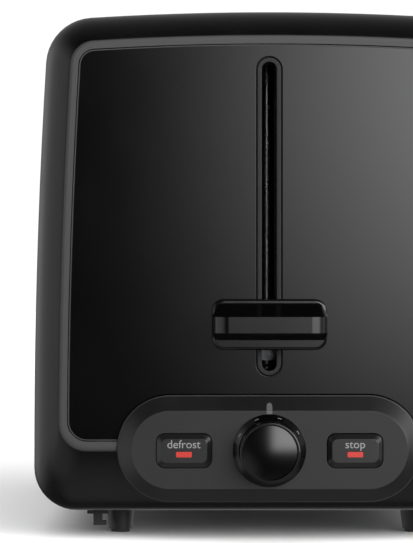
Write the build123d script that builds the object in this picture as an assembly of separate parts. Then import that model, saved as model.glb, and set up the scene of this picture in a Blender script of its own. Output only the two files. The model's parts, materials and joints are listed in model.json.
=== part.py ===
from build123d import *
import math
import os

# A two-slice pop-up toaster. Millimetres, +Z up, +X to the right when the lever
# end is seen from the front, and the lever end faces -Y. The toaster is held as it
# is while toasting: the lever is down and latched.
# Heights are drawn from a datum just above the floor. The last step lifts every
# piece, so that the floor is at Z = 0 in the files.

# ---- driving dimensions -----------------------------------------------------
FLOOR = -3.3                  # the floor, below the datum
BODY_TOP = 204.7
BODY_BOTTOM = 7.3
BODY_HALF_WIDTH = 92.8        # at WIDEST_HEIGHT
WIDEST_HEIGHT = 30.0
SIDE_BULGE = 1.87e-4          # how fast the side draws in, per mm squared
CROWN = 4.46e-4               # how fast the top falls away from the middle
TOP_RADIUS = 19.0
BOTTOM_RADIUS = 17.0
WALL = 2.5
SEAM = 0.3                    # visible gap between two shells
FIT = 0.3                     # clearance between pieces that don't touch

FRONT = -135.0                # the flat land around the front panel
REAR = 156.0
FRONT_SEAM = -105.0
REAR_SEAM = 118.0
LEVER_FRONT = -156.0

# Rounded front edge of the body: the surface leaves the land at EDGE_START
# degrees from facing forwards and turns until it runs straight back.
EDGE_RADIUS = 17.4
EDGE_START = 25.0
EDGE_STEPS = 5
LAND_INSET = (11.0, 10.8, 25.5)       # side, top, bottom
LAND_RADII = (9.0, 10.5)              # top corners, bottom corners
REAR_INSET = (9.8, 9.1, 4.0)
REAR_RADII = (12.0, 9.0)

PANEL_INSET = (14.0, 13.9, 28.4)
PANEL_RADII = (6.0, 7.5)
PANEL_FRONT = -133.7
PANEL_THICK = 1.2
PANEL_LIP = 2.5

POD_Z = 32.7                  # raised control panel
POD_SIZE = (119.0, 41.8)
POD_FACE = (108.0, 30.5)
POD_FACE_Z = 32.35            # the face sits a little low in the panel
POD_FRONT = -139.5
POD_SHOULDER = -136.0
POD_BACK = -122.0
POD_RIM = 0.4                 # small step between the upright edge and the bevel
BUTTON_X = 33.3
BUTTON_Z = 32.1
BUTTON_SIZE = (21.3, 13.0, 3.1)
BUTTON_FACE = (17.9, 9.2, 2.2)
BUTTON_FRONT = -141.3
BUTTON_TRAVEL = 1.5
LENS_SIZE = (6.1, 2.1, 0.4)
LENS_DROP = 1.4               # below the middle of the button
KNOB_Z = 32.2
KNOB_RADIUS = 14.2
KNOB_LIP_RADIUS = 11.7        # front edge, around the cap
KNOB_FLARE = 2.3              # length of the flare next to the rim
CAP_RADIUS = 10.65
KNOB_FRONT = -155.0
SHAFT_RADIUS = 3.0

TRIM_Z = (61.2, 185.7)        # lever slot trim, lowest and highest point
TRIM_WIDTH = 9.4
TRIM_OPENING = 5.7
TRIM_GAP = 0.45               # between the trim and the panel's hole
HANDLE_Z = 81.3
HANDLE_SIZE = (44.6, 19.8, 4.7)
HANDLE_DEPTH = 18.0
HANDLE_BAND = (78.2, 84.4)    # upright front band, lowest and highest point
HANDLE_CORNER = 6.4           # rounding of the ends, seen from above
HANDLE_LIP_TOP = 75.3         # lip that a fingertip lifts
ARM_X = (-1.5, 1.5)
ARM_Z = (77.2, 85.2)
LEVER_TRAVEL = 96.0

SLOT_X = 28.0                 # bread slots, side by side
SLOT_SIZE = (27.0, 145.0)
SLOT_Y = 15.5
SLOT_CORNER = 6.0
LINER_BOTTOM = 184.0
LINER_FLANGE = 3.1            # how far the flange reaches over the body
LINER_WALL = 1.3
ABOVE_BODY = BODY_TOP + 5     # a height that is clear of everything
LOUVRE_SIZE = (30.0, 3.2)     # cooling louvres in the rear cover
LOUVRE_X = (-38.0, 0.0, 38.0)
LOUVRE_Z = [96.0 + 9.0 * row for row in range(7)]

FRONT_BULKHEAD = -70.0
REAR_BULKHEAD = 100.0
SHEET = 1.0
BULKHEAD_HALF_WIDTH = 66.0
BULKHEAD_TOP = 192.0
SHIELD_X = 61.5
HEATER_X = 56.0
HEATER_Z = (60.0, 180.0)
MICA = 0.8

ROD_Y = -86.0
ROD_RADIUS = 3.0
ROD_Z = (12.6, 192.0)
RUNNING = 0.05                # radial clearance of a running fit
HUB_Z = (66.0, 86.0)
BUSH_RADIUS = 4.5
CROSS_PLATE = (-79.5, -78.0)
LIFT_Z = (62.0, 72.0)
LIFT_THICK = 1.2
SPRING_Z = (18.4, 65.6)

GUIDE_PIVOT_Z = 54.0
GUIDE_PIVOT_OFFSET = 13.0     # from the slot's middle plane
GUIDE_TOP_Z = 176.0
GUIDE_LEAN = 1.4              # degrees towards the bread while toasting
WIRE = 0.9                    # wire radius

BASE_HALF_WIDTH = 75.0
BASE_THICK = 2.0
BASE_TOP = BODY_BOTTOM + BASE_THICK
TRAY_Z = (14.0, 20.0)
TRAY_HALF_WIDTH = 59.7
TRAY_Y = (-66.0, 152.0)
TRAY_MOUTH_Z = (12.8, 23.4)
GLAND_X = -68.0
GLAND_Z = 44.0
GLAND_RADIUS = 6.0
GLAND_BORE = 3.6
FOOT_X = 59.4
FOOT_Y = (-95.0, 105.0)
FOOT_RADII = (4.6, 5.7)       # at the pad, at the base
PAD_RADIUS = 3.75
CLEAT_X = 68.2
CLEAT_Y = (-102.8, 114.0)
CLEAT_TOE = (0.0, 1.7)        # lowest and highest point of the hook's toe
BOSS_POINTS = [(x, y) for x in (-71.0, 71.0) for y in (-88.0, 108.0)]
BOSS_RADIUS = 4.0
BOSS_TOP = 30.0
BOARD_Y = (-117.8, -116.2)
BOARD_Z = (14.0, 58.0)
BOARD_HALF_WIDTH = 62.0
BOARD_SCREWS = [(x, z) for x in (-57.0, 57.0) for z in (19.0, 53.0)]
SWITCH_DEPTH = 3.7            # from the board to the tip of a button's switch
MAGNET_X = (13.0, 31.0)       # holding magnet and its armature, on the right
CONTACT_X = (-31.0, -13.0)    # mains contacts and their pusher, on the left
POLE_TOP = 34.3
LEG_BOTTOM = 37.2             # foot of the carriage's legs
LEAD_X = 69.3
SCREW_RADIUS = 1.5
SCREW_HEAD = 3.0

PARTS = {}


# ---- helpers ----------------------------------------------------------------
def block(x, y, z):
    """A box from three (low, high) pairs."""
    size = [high - low for low, high in (x, y, z)]
    middle = [(high + low) / 2 for low, high in (x, y, z)]
    return Pos(*middle) * Box(*size)


def across(y):
    """The upright plane at y, with its own x to +X and its own y to +Z."""
    return Plane(origin=(0, y, 0), x_dir=(1, 0, 0), z_dir=(0, -1, 0))


def slab(sketch, front, back):
    """An outline in X and Z, pulled forwards from back to front."""
    return extrude(across(back) * sketch, back - front)


def post(radius, x, y, z):
    """An upright cylinder between two heights."""
    low, high = z
    return Pos(x, y, (low + high) / 2) * Cylinder(radius, high - low)


def spindle(radius, x, z, y):
    """A cylinder that lies along Y."""
    front, back = y
    return Pos(x, (front + back) / 2, z) * Rot(90, 0, 0) * Cylinder(radius, back - front)


def half_width(z):
    return BODY_HALF_WIDTH - SIDE_BULGE * (z - WIDEST_HEIGHT) ** 2


def outline(inset, radii):
    """The body's outline, drawn in by (side, top, bottom), with (top, bottom) corners."""
    side, top, bottom = inset
    top_radius, bottom_radius = radii
    low = BODY_BOTTOM + bottom
    peak = BODY_TOP - top
    corner_x = half_width(peak) - side
    corner_z = peak - CROWN * corner_x**2
    middle_z = (low + corner_z) / 2
    low_x = half_width(low) - side
    middle_x = half_width(middle_z) - side
    right = ThreePointArc((low_x, low), (middle_x, middle_z), (corner_x, corner_z))
    crown = ThreePointArc((corner_x, corner_z), (0, peak), (-corner_x, corner_z))
    left = ThreePointArc((-corner_x, corner_z), (-middle_x, middle_z), (-low_x, low))
    floor = Line((-low_x, low), (low_x, low))
    sketch = Sketch() + make_face(Curve() + [right, crown, left, floor])
    sketch = fillet(sketch.vertices().sort_by(Axis.Y)[:2], bottom_radius)
    return fillet(sketch.vertices().sort_by(Axis.Y)[-2:], top_radius)


def body_outline(depth=0.0):
    """The full outline, drawn in all round by depth."""
    return outline((depth, depth, depth), (TOP_RADIUS - depth, BOTTOM_RADIUS - depth))


def rounded_end(inset, radii, face_y, way, depth=0.0):
    """The rounded end of the body, from its flat face to where the sides run straight.

    way is +1 when the body lies behind the face (+Y) and -1 when in front of it.
    depth draws the whole surface in by the wall's thickness.
    """
    start = math.radians(EDGE_START)
    reach = 1 - math.sin(start)
    sections = []
    for step in range(EDGE_STEPS + 1):
        angle = start + (math.pi / 2 - start) * step / EDGE_STEPS
        share = (1 - math.sin(angle)) / reach
        drop = EDGE_RADIUS * (math.cos(start) - math.cos(angle)) + depth * math.cos(angle)
        sunk = [share * value + depth * math.sin(angle) for value in inset]
        corners = [
            full + (small - full) * share - depth * math.sin(angle)
            for full, small in zip((TOP_RADIUS, BOTTOM_RADIUS), radii)
        ]
        sections.append(across(face_y + way * drop) * outline(sunk, corners))
    return loft(sections)


def edge_depth():
    """How far back from the flat face the sides start to run straight."""
    return EDGE_RADIUS * math.cos(math.radians(EDGE_START))


def ring(outer, inner, front, back):
    return slab(outer, front, back) - slab(inner, front - 1, back + 1)


def upright_stadium(width, low, high):
    return Pos(0, (low + high) / 2) * SlotOverall(high - low, width, rotation=90)


def flat_stadium(width, height, z):
    return Pos(0, z) * SlotOverall(width, height)


def tablet(size, x, z):
    width, height, radius = size
    return Pos(x, z) * RectangleRounded(width, height, radius)


def grown(size, amount):
    width, height, radius = size
    return (width + 2 * amount, height + 2 * amount, radius + amount)


def slot_block(x, margin, z):
    """An upright block with the bread slot's rounded plan, grown by margin."""
    width = SLOT_SIZE[0] + 2 * margin
    length = SLOT_SIZE[1] + 2 * margin
    plan = RectangleRounded(width, length, SLOT_CORNER + margin)
    low, high = z
    return extrude(Pos(x, SLOT_Y, low) * plan, high - low)


def keep(name, shape):
    """Name a piece and take it into the set that is written out."""
    PARTS[name] = shape


def one_side(name, x):
    return name + ("_left" if x < 0 else "_right")


# ---- outer shells -----------------------------------------------------------
def pod_outline(margin=0.0):
    width, height = POD_SIZE
    return flat_stadium(width + 2 * margin, height + 2 * margin, POD_Z)


def panel_outline(margin=0.0):
    inset = [value - margin for value in PANEL_INSET]
    radii = [value + margin for value in PANEL_RADII]
    return outline(inset, radii)


def front_bezel():
    """Rounded front frame with a flat land, and a lip behind the front panel."""
    straight = FRONT + edge_depth()
    back = FRONT_SEAM - SEAM / 2
    shell = rounded_end(LAND_INSET, LAND_RADII, FRONT, 1) + slab(body_outline(), straight, back)
    hollow = rounded_end(LAND_INSET, LAND_RADII, FRONT, 1, WALL)
    hollow += slab(body_outline(WALL), straight, back + 1)
    shell -= hollow
    ledge = PANEL_FRONT + PANEL_THICK
    lip_back = ledge + 2.0
    lip = outline([value - 1.5 for value in LAND_INSET], [value + 1.5 for value in LAND_RADII])
    shell += slab(lip, FRONT + WALL, lip_back)
    shell -= slab(panel_outline(FIT), FRONT - 1, ledge)
    shell -= slab(panel_outline(-PANEL_LIP), FRONT - 1, lip_back + 1)
    shell -= slab(pod_outline(FIT), FRONT - 5, POD_BACK + 1)
    return shell + seam_tabs(back, 1)


def seam_tabs(seam, way):
    """Tongues that reach past the seam, just inside the main housing's wall."""
    root = sorted((seam - way * 6.0, seam))
    tip = sorted((seam, seam + way * 8.0))
    inner_face = body_outline(WALL + 2.2)
    tabs = ring(body_outline(WALL - 0.5), inner_face, *root)
    tabs += ring(body_outline(WALL + 0.2), inner_face, *tip)
    reach = (min(root[0], tip[0]) - 1, max(root[1], tip[1]) + 1)
    keepers = block((-20, 20), reach, (150, 210))
    for x in ((-100, -70), (70, 100)):
        keepers += block(x, reach, (50, 70))
        keepers += block(x, reach, (130, 150))
    return tabs & keepers


def front_panel():
    """Flat metal panel with the lever slot's hole and a bite for the control panel."""
    back = PANEL_FRONT + PANEL_THICK
    panel = slab(panel_outline(), PANEL_FRONT, back)
    low, high = TRIM_Z
    hole = upright_stadium(TRIM_WIDTH + 2 * TRIM_GAP, low - TRIM_GAP, high + TRIM_GAP)
    panel -= slab(hole, PANEL_FRONT - 1, back + 1)
    return panel - slab(pod_outline(FIT), PANEL_FRONT - 1, back + 1)


def lever_slot_trim():
    """Slim ring that lines the lever slot, with a flange behind the panel."""
    low, high = TRIM_Z
    inset = (TRIM_WIDTH - TRIM_OPENING) / 2
    proud = 0.7
    flange = 1.8
    behind = PANEL_FRONT + PANEL_THICK
    trim = slab(upright_stadium(TRIM_WIDTH, low, high), PANEL_FRONT - proud, behind)
    wide = upright_stadium(TRIM_WIDTH + 2 * flange, low - flange, high + flange)
    trim += slab(wide, behind, behind + 1.2)
    opening = upright_stadium(TRIM_OPENING, low + inset, high - inset)
    trim -= slab(opening, PANEL_FRONT - 2, behind + 3)
    return trim


def main_housing():
    """Sleeve that makes the top and sides, open underneath for the base plate."""
    front = FRONT_SEAM + SEAM / 2
    back = REAR_SEAM - SEAM / 2
    shell = ring(body_outline(), body_outline(WALL), front, back)
    opening = BASE_HALF_WIDTH + FIT
    shell -= block((-opening, opening), (front - 1, back + 1), (0, BASE_TOP + 4))
    rebate = slab(body_outline(-2), front, back) - slab(body_outline(1.4), front, back)
    for x in (-SLOT_X, SLOT_X):
        shell -= slot_block(x, LINER_WALL + FIT, (LINER_BOTTOM, ABOVE_BODY))
        shell -= slot_block(x, LINER_FLANGE + FIT, (LINER_BOTTOM, ABOVE_BODY)) & rebate
    for x, y in BOSS_POINTS:
        boss = post(BOSS_RADIUS, x, y, (BASE_TOP, BOSS_TOP))
        web = sorted((x, math.copysign(BODY_HALF_WIDTH - 1, x)))
        boss += block(web, (y - 1.2, y + 1.2), (BASE_TOP + 5, BOSS_TOP))
        boss &= slab(body_outline(1.0), front, back)
        boss -= post(SCREW_RADIUS, x, y, (BASE_TOP - 1, BOSS_TOP - 6))
        shell += boss
    return shell


def slot_liner(x):
    """Trim around a bread slot: a flush flange and a short chute."""
    run = (FRONT_SEAM, REAR_SEAM)
    under_top = slab(body_outline(0.1), *run)
    flange = slot_block(x, LINER_FLANGE, (LINER_BOTTOM, ABOVE_BODY))
    flange &= under_top - slab(body_outline(LINER_WALL), *run)
    chute = slot_block(x, LINER_WALL, (LINER_BOTTOM, ABOVE_BODY)) & under_top
    return flange + chute - slot_block(x, 0, (LINER_BOTTOM - 1, ABOVE_BODY + 1))


def rear_cover():
    """Rear shell with cooling louvres, the crumb tray's mouth and the cord's hole."""
    front = REAR_SEAM + SEAM / 2
    straight = REAR - edge_depth()
    shell = rounded_end(REAR_INSET, REAR_RADII, REAR, -1) + slab(body_outline(), front, straight)
    hollow = rounded_end(REAR_INSET, REAR_RADII, REAR, -1, WALL)
    hollow += slab(body_outline(WALL), front - 1, straight)
    shell -= hollow
    mouth = (-TRAY_HALF_WIDTH - 1.5, TRAY_HALF_WIDTH + 1.5)
    shell -= block(mouth, (front - 1, REAR + 1), TRAY_MOUTH_Z)
    for z in LOUVRE_Z:
        for x in LOUVRE_X:
            shell -= slab(Pos(x, z) * SlotOverall(*LOUVRE_SIZE), REAR - 6, REAR + 1)
    shell -= spindle(GLAND_RADIUS + RUNNING, GLAND_X, GLAND_Z, (REAR - 8, REAR + 1))
    return shell + seam_tabs(front, -1)


def control_panel():
    """Raised control panel: a shallow stadium box with a wide bevel, open behind."""
    pod = slab(pod_outline(), POD_SHOULDER, POD_BACK)
    rim = across(POD_SHOULDER) * pod_outline(-POD_RIM)
    face = across(POD_FRONT) * flat_stadium(*POD_FACE, POD_FACE_Z)
    pod += loft([rim, face], ruled=True)
    width, height = POD_FACE
    pod -= slab(pod_outline(-2.0), POD_SHOULDER + 1.5, POD_BACK + 1)
    pod -= slab(flat_stadium(width - 3, height - 3, POD_FACE_Z), POD_FRONT + 2.5, POD_BACK + 1)
    pod -= spindle(SHAFT_RADIUS + 0.6, 0, KNOB_Z, (POD_FRONT - 1, POD_BACK))
    for x in (-BUTTON_X, BUTTON_X):
        pod -= slab(tablet(grown(BUTTON_SIZE, FIT), x, BUTTON_Z), POD_FRONT - 1, POD_BACK)
    return pod


# ---- underside --------------------------------------------------------------
def base_plate():
    """Floor of the toaster with tray rails, screw holes and air slots."""
    front = FRONT_SEAM + SEAM / 2
    back = REAR_SEAM - SEAM / 2
    plate = block((-BASE_HALF_WIDTH, BASE_HALF_WIDTH), (front, back), (BODY_BOTTOM, BASE_TOP))
    for side in (-1, 1):
        rail = sorted((side * (TRAY_HALF_WIDTH - 5), side * (TRAY_HALF_WIDTH - 0.5)))
        fence = sorted((side * (TRAY_HALF_WIDTH + 0.4), side * (TRAY_HALF_WIDTH + 1.6)))
        plate += block(rail, (TRAY_Y[0], back), (BASE_TOP, TRAY_Z[0] - FIT))
        plate += block(fence, (TRAY_Y[0], REAR_BULKHEAD - 2), (BASE_TOP, TRAY_Z[0] + 4))
    for row in range(8):
        air_slot = Pos(0, -40 + row * 18.0, BODY_BOTTOM - 1) * SlotOverall(70, 4)
        plate -= extrude(air_slot, BASE_THICK + 2)
    for x, y in BOSS_POINTS:
        plate -= post(SCREW_RADIUS + 0.2, x, y, (BODY_BOTTOM - 1, BASE_TOP + 1))
    return plate


def foot(x, y):
    """Tapered foot with a shallow seat for its rubber pad."""
    low, high = FLOOR + 1.2, BODY_BOTTOM
    cone = Pos(x, y, (low + high) / 2) * Cone(*FOOT_RADII, high - low)
    return cone - post(PAD_RADIUS + 0.05, x, y, (low - 1, low + 1.0))


def foot_pad(x, y):
    return post(PAD_RADIUS, x, y, (FLOOR, FLOOR + 2.2))


def cord_cleat(x, y):
    """Hook under the base that the cord is wound around: flange, post and toe."""
    inwards = -math.copysign(1, x)
    length = (y - 1.7, y + 1.7)
    stem = 1.8
    cleat = block((x - 4.3, x + 4.3), length, (BODY_BOTTOM - 2.7, BODY_BOTTOM))
    cleat += block((x - stem, x + stem), length, (CLEAT_TOE[0], BODY_BOTTOM))
    toe = sorted((x - inwards * stem, x + inwards * 3.4))
    return cleat + block(toe, length, CLEAT_TOE)


def screw_up(x, y, z, length):
    """Pan-head screw driven upwards from z."""
    head = post(SCREW_HEAD, x, y, (z - 1.6, z))
    head -= block((x - 2, x + 2), (y - 0.3, y + 0.3), (z - 2, z - 1))
    return head + post(SCREW_RADIUS, x, y, (z, z + length))


def crumb_tray():
    """Shallow folded tray that catches crumbs, open at the top."""
    low, high = TRAY_Z
    width = (-TRAY_HALF_WIDTH, TRAY_HALF_WIDTH)
    sheet = 0.8
    inner = (width[0] + sheet, width[1] - sheet)
    tray = block(width, TRAY_Y, (low, high))
    return tray - block(inner, (TRAY_Y[0] + sheet, TRAY_Y[1] - sheet), (low + sheet, high + 1))


def tray_handle():
    """Grip on the rear edge of the tray, flush with the rear cover."""
    low, high = TRAY_MOUTH_Z
    half = TRAY_HALF_WIDTH + 1.0
    grip = block((-half, half), (TRAY_Y[1], REAR), (low + 0.5, high - 0.5))
    scoop = Pos(0, REAR + 8.4, high) * Cylinder(11, 9)
    return grip - scoop


# ---- toasting chamber -------------------------------------------------------
def bulkhead(y):
    """Upright sheet with a slot for each bread lift and the guides' pivot holes."""
    half = BULKHEAD_HALF_WIDTH
    depth = (y - SHEET / 2, y + SHEET / 2)
    cut = (y - SHEET, y + SHEET)
    sheet = block((-half, half), depth, (BASE_TOP, BULKHEAD_TOP))
    tray_gap = TRAY_HALF_WIDTH + 2.4
    sheet -= block((-tray_gap, tray_gap), cut, (0, TRAY_Z[1] + 4))
    for slot in (-SLOT_X, SLOT_X):
        sheet -= block((slot - 1.6, slot + 1.6), cut, (LIFT_Z[0] - 2, LIFT_Z[1] + LEVER_TRAVEL + 3))
        for offset in (-GUIDE_PIVOT_OFFSET, GUIDE_PIVOT_OFFSET):
            sheet -= spindle(WIRE + RUNNING, slot + offset, GUIDE_PIVOT_Z, cut)
    for x in (-HEATER_X, 0, HEATER_X):
        for z in (HEATER_Z[0] + 20, HEATER_Z[1] - 20):
            sheet -= block((x - 0.5, x + 0.5), cut, (z - 4.2, z + 4.2))
    return sheet


def front_bulkhead():
    """Front sheet, with a bent shelf that holds the top of the guide rod."""
    sheet = bulkhead(FRONT_BULKHEAD)
    shelf = block((-12, 12), (ROD_Y - 8, FRONT_BULKHEAD), (186, 187.2))
    return sheet + (shelf - post(ROD_RADIUS, 0, ROD_Y, (180, 190)))


def heat_shield(x):
    side = math.copysign(SHEET * 0.8, x)
    width = sorted((x, x + side))
    run = (FRONT_BULKHEAD + SHEET / 2, REAR_BULKHEAD - SHEET / 2)
    return block(width, run, (TRAY_Z[1] + 4, BULKHEAD_TOP - 4))


def heater_board(x):
    """Mica card with tabs that sit in the bulkheads."""
    width = (x - MICA / 2, x + MICA / 2)
    card = block(width, (FRONT_BULKHEAD + 3, REAR_BULKHEAD - 3), HEATER_Z)
    for z in (HEATER_Z[0] + 20, HEATER_Z[1] - 20):
        card += block(width, (FRONT_BULKHEAD - 1.5, REAR_BULKHEAD + 1.5), (z - 4, z + 4))
    return card


def heater_ribbon(x):
    """Flat resistance ribbon: turns around the card, joined along its foot."""
    low, high = HEATER_Z
    gap = MICA / 2 + 0.05
    thick = 0.3
    first = FRONT_BULKHEAD + 10
    turns = 13
    pitch = (REAR_BULKHEAD - FRONT_BULKHEAD - 20) / (turns - 1)
    ribbon = block((x - gap, x + gap), (first, first + pitch * (turns - 1)), (low - 0.35, low - 0.05))
    for turn in range(turns):
        y = first + pitch * turn
        run = (y - 0.6, y + 0.6)
        outer = (x - gap - thick, x + gap + thick)
        loop = block(outer, run, (low - 0.35, high + 0.35))
        loop -= block((x - gap, x + gap), (y - 1, y + 1), (low - 0.05, high + 0.05))
        ribbon += loop
    return ribbon


def bread_guide(slot, side):
    """Wire grid that leans in and centres the bread; it turns on its lowest wire."""
    x = slot + side * GUIDE_PIVOT_OFFSET
    front = FRONT_BULKHEAD + 6
    back = REAR_BULKHEAD - 6
    grid = spindle(WIRE, x, GUIDE_PIVOT_Z, (FRONT_BULKHEAD - 2, REAR_BULKHEAD + 2))
    for z in (GUIDE_PIVOT_Z + 40, GUIDE_PIVOT_Z + 80, GUIDE_TOP_Z):
        grid += spindle(WIRE, x, z, (front, back))
    bars = 12
    for bar in range(bars):
        y = front + WIRE + (back - front - 2 * WIRE) * bar / (bars - 1)
        grid += post(WIRE, x, y, (GUIDE_PIVOT_Z, GUIDE_TOP_Z))
    lean = -side * GUIDE_LEAN
    return Pos(x, 0, GUIDE_PIVOT_Z) * Rot(0, lean, 0) * Pos(-x, 0, -GUIDE_PIVOT_Z) * grid


def bread_lift(slot):
    """Blade that carries the slice, with cross tabs and a bent front tab."""
    width = (slot - LIFT_THICK / 2, slot + LIFT_THICK / 2)
    blade = block(width, (CROSS_PLATE[1], REAR_BULKHEAD + 4), LIFT_Z)
    blade += block((slot - 4, slot + 4), (CROSS_PLATE[1], CROSS_PLATE[1] + LIFT_THICK), LIFT_Z)
    low, high = LIFT_Z
    for tab in range(6):
        y = FRONT_BULKHEAD + 18 + tab * 27.0
        blade += block((slot - 8, slot + 8), (y - 2, y + 2), (high - LIFT_THICK, high))
    return blade


# ---- lift mechanism ---------------------------------------------------------
def guide_rod():
    return post(ROD_RADIUS, 0, ROD_Y, ROD_Z)


def spring_seat():
    """Cup on the base that holds the rod's foot and the spring."""
    seat = post(11, 0, ROD_Y, (BASE_TOP, BASE_TOP + 1.8))
    seat += post(8.5, 0, ROD_Y, (BASE_TOP, SPRING_Z[0]))
    return seat - post(ROD_RADIUS, 0, ROD_Y, (ROD_Z[0], SPRING_Z[0] + 1))


def lift_spring():
    """Space that the coil spring fills, around the rod and under the carriage."""
    return post(6.4, 0, ROD_Y, SPRING_Z) - post(3.6, 0, ROD_Y, (SPRING_Z[0] - 1, SPRING_Z[1] + 1))


def carriage():
    """Cross plate with a hub for the guide rod and two legs that reach the latch."""
    plate = block((-36, 36), CROSS_PLATE, (60, 84))
    plate += block((-8, 8), (ROD_Y - 7, CROSS_PLATE[0]), HUB_Z)
    for leg in ((18, 26), (-26, -18)):
        plate += block(leg, CROSS_PLATE, (LEG_BOTTOM, 62))
    return plate - post(BUSH_RADIUS, 0, ROD_Y, (HUB_Z[0] - 1, HUB_Z[1] + 1))


def carriage_bush():
    low, high = HUB_Z
    bore = post(ROD_RADIUS + RUNNING, 0, ROD_Y, (low - 1, high + 1))
    return post(BUSH_RADIUS, 0, ROD_Y, HUB_Z) - bore


def lever_arm():
    """Flat bar from the hub, out through the lever slot and into the handle."""
    return block(ARM_X, (LEVER_FRONT + 9, ROD_Y - 7), ARM_Z)


def handle_plan(front, half, corner):
    """The handle's bar seen from above: straight at the back, rounded at the front."""
    back = LEVER_FRONT + HANDLE_DEPTH
    plan = Pos(0, (front + back) / 2) * Rectangle(2 * half, back - front)
    return fillet(plan.vertices().group_by(Axis.Y)[0], corner)


def lever_handle():
    """Push-down handle: a rounded plate with a bar that juts out in front of it."""
    width, height, _ = HANDLE_SIZE
    top = HANDLE_Z + height / 2
    back = LEVER_FRONT + HANDLE_DEPTH
    plate_front = LEVER_FRONT + 12.0
    edge_radius = 1.2
    plate = slab(tablet(HANDLE_SIZE, 0, HANDLE_Z), plate_front, back)
    plate = fillet(plate.faces().sort_by(Axis.Y)[0].edges(), edge_radius)
    finger_notch = tablet((26.0, 3.0, 1.4), 0, HANDLE_LIP_TOP + 1.0)
    plate -= slab(finger_notch, plate_front - 1, plate_front + 1.5)
    low, high = HANDLE_BAND
    half = width / 2
    band = handle_plan(LEVER_FRONT, half, HANDLE_CORNER)
    bar = extrude(Pos(0, 0, low) * band, high - low)
    ridge = handle_plan(plate_front - 0.1, half - 2.2, 2.0)
    bar += loft([Pos(0, 0, high) * band, Pos(0, 0, top - 1.6) * ridge], ruled=True)
    keel = handle_plan(plate_front - 0.6, half - 0.8, 2.0)
    bar += loft([Pos(0, 0, HANDLE_LIP_TOP) * keel, Pos(0, 0, low) * band], ruled=True)
    return plate + bar - block(ARM_X, (LEVER_FRONT + 9, back + 1), ARM_Z)


def magnet_armature():
    """Iron plate under the carriage's right leg, which the magnet holds down."""
    return block(MAGNET_X, (ROD_Y - 8, CROSS_PLATE[1]), (POLE_TOP + FIT, LEG_BOTTOM))


def contact_pusher():
    """Plastic shoe under the carriage's left leg, which closes the mains contacts."""
    return block(CONTACT_X, (ROD_Y - 5, CROSS_PLATE[1]), (LEG_BOTTOM - 3, LEG_BOTTOM))


def magnet_core():
    """Three-legged laminated core whose poles face up."""
    core = block(MAGNET_X, (ROD_Y - 6, ROD_Y + 6), (BASE_TOP, POLE_TOP))
    for x in (16.6, 24.4):
        core -= block((x, x + 3), (ROD_Y - 7, ROD_Y + 7), (BASE_TOP + 5, POLE_TOP + 1))
    return core


def magnet_coil():
    """Winding around the core's middle leg."""
    run = (ROD_Y - 8.4, ROD_Y + 8.4)
    coil = block((16.8, 27.2), run, (17, 31))
    coil -= block((19.55, 24.45), (ROD_Y - 6.05, ROD_Y + 6.05), (16, 32))
    return coil


def power_contacts():
    """Insulating base with two sprung contact blades."""
    contacts = block(CONTACT_X, (ROD_Y - 8, ROD_Y + 8), (BASE_TOP, 22))
    blade = 0.7
    blade_top = 31.2
    for x in (-27, -17):
        width = (x - 2, x + 2)
        contacts += block(width, (ROD_Y - 6, ROD_Y + 6), (blade_top - blade, blade_top))
        contacts += block(width, (ROD_Y + 6 - blade, ROD_Y + 6), (21, blade_top))
    return contacts


# ---- electrics --------------------------------------------------------------
def circuit_board():
    front, back = BOARD_Y
    board = block((-BOARD_HALF_WIDTH, BOARD_HALF_WIDTH), BOARD_Y, BOARD_Z)
    for x, z in BOARD_SCREWS:
        board -= spindle(SCREW_RADIUS + 0.1, x, z, (front - 1, back + 1))
    return board


def board_screw(x, z):
    back = BOARD_Y[1]
    return spindle(SCREW_HEAD, x, z, (back, back + 1.6)) + spindle(SCREW_RADIUS, x, z, (back - 4, back))


def potentiometer():
    front = BOARD_Y[0]
    body = block((-8, 8), (front - 5, front), (KNOB_Z - 8, KNOB_Z + 8))
    body += spindle(4.5, 0, KNOB_Z, (front - 8, front - 5))
    return body - spindle(SHAFT_RADIUS + RUNNING, 0, KNOB_Z, (front - 9, front - 1))


def tact_switch(x):
    front = BOARD_Y[0]
    case_front = front - SWITCH_DEPTH + 0.5
    switch = block((x - 3, x + 3), (case_front, front), (BUTTON_Z - 3, BUTTON_Z + 3))
    return switch + spindle(1.7, x, BUTTON_Z, (front - SWITCH_DEPTH, case_front))


def indicator_led(x):
    """Small diode behind a button's window."""
    front = BOARD_Y[0]
    z = BUTTON_Z - 9
    return spindle(1.5, x, z, (front - 4, front)) + Pos(x, front - 4, z) * Sphere(1.5)


def capacitor():
    back = BOARD_Y[1]
    can = spindle(5, -44, 36, (back, back + 9))
    return fillet(can.edges().filter_by(GeomType.CIRCLE).sort_by(Axis.Y)[-1:], 1)


def transformer():
    """Small mains transformer: core with its winding."""
    back = BOARD_Y[1]
    core = block((32, 54), (back, back + 9), (26, 46))
    return core + block((36, 50), (back, back + 10.2), (23, 49))


def terminal_block():
    top = BASE_TOP + 12
    body = block((-74, -64.5), (70, 90), (BASE_TOP, top))
    for y in (75, 85):
        body -= post(1.8, -69.25, y, (top - 6, top + 1))
    return body


def cord_gland():
    """Bush in the rear cover that the mains cord comes out of."""
    bush = spindle(GLAND_RADIUS, GLAND_X, GLAND_Z, (REAR - 8, REAR - 0.2))
    bush += spindle(8, GLAND_X, GLAND_Z, (REAR - 10, REAR - 7.9))
    return bush - spindle(GLAND_BORE, GLAND_X, GLAND_Z, (REAR - 12, REAR + 1))


def power_lead(x):
    """Stiff insulated lead along the floor, clipped beside the chamber."""
    radius = 1.6
    return spindle(radius, x, BASE_TOP + radius + 0.1, (FRONT_BULKHEAD - 12, 66))


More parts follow.
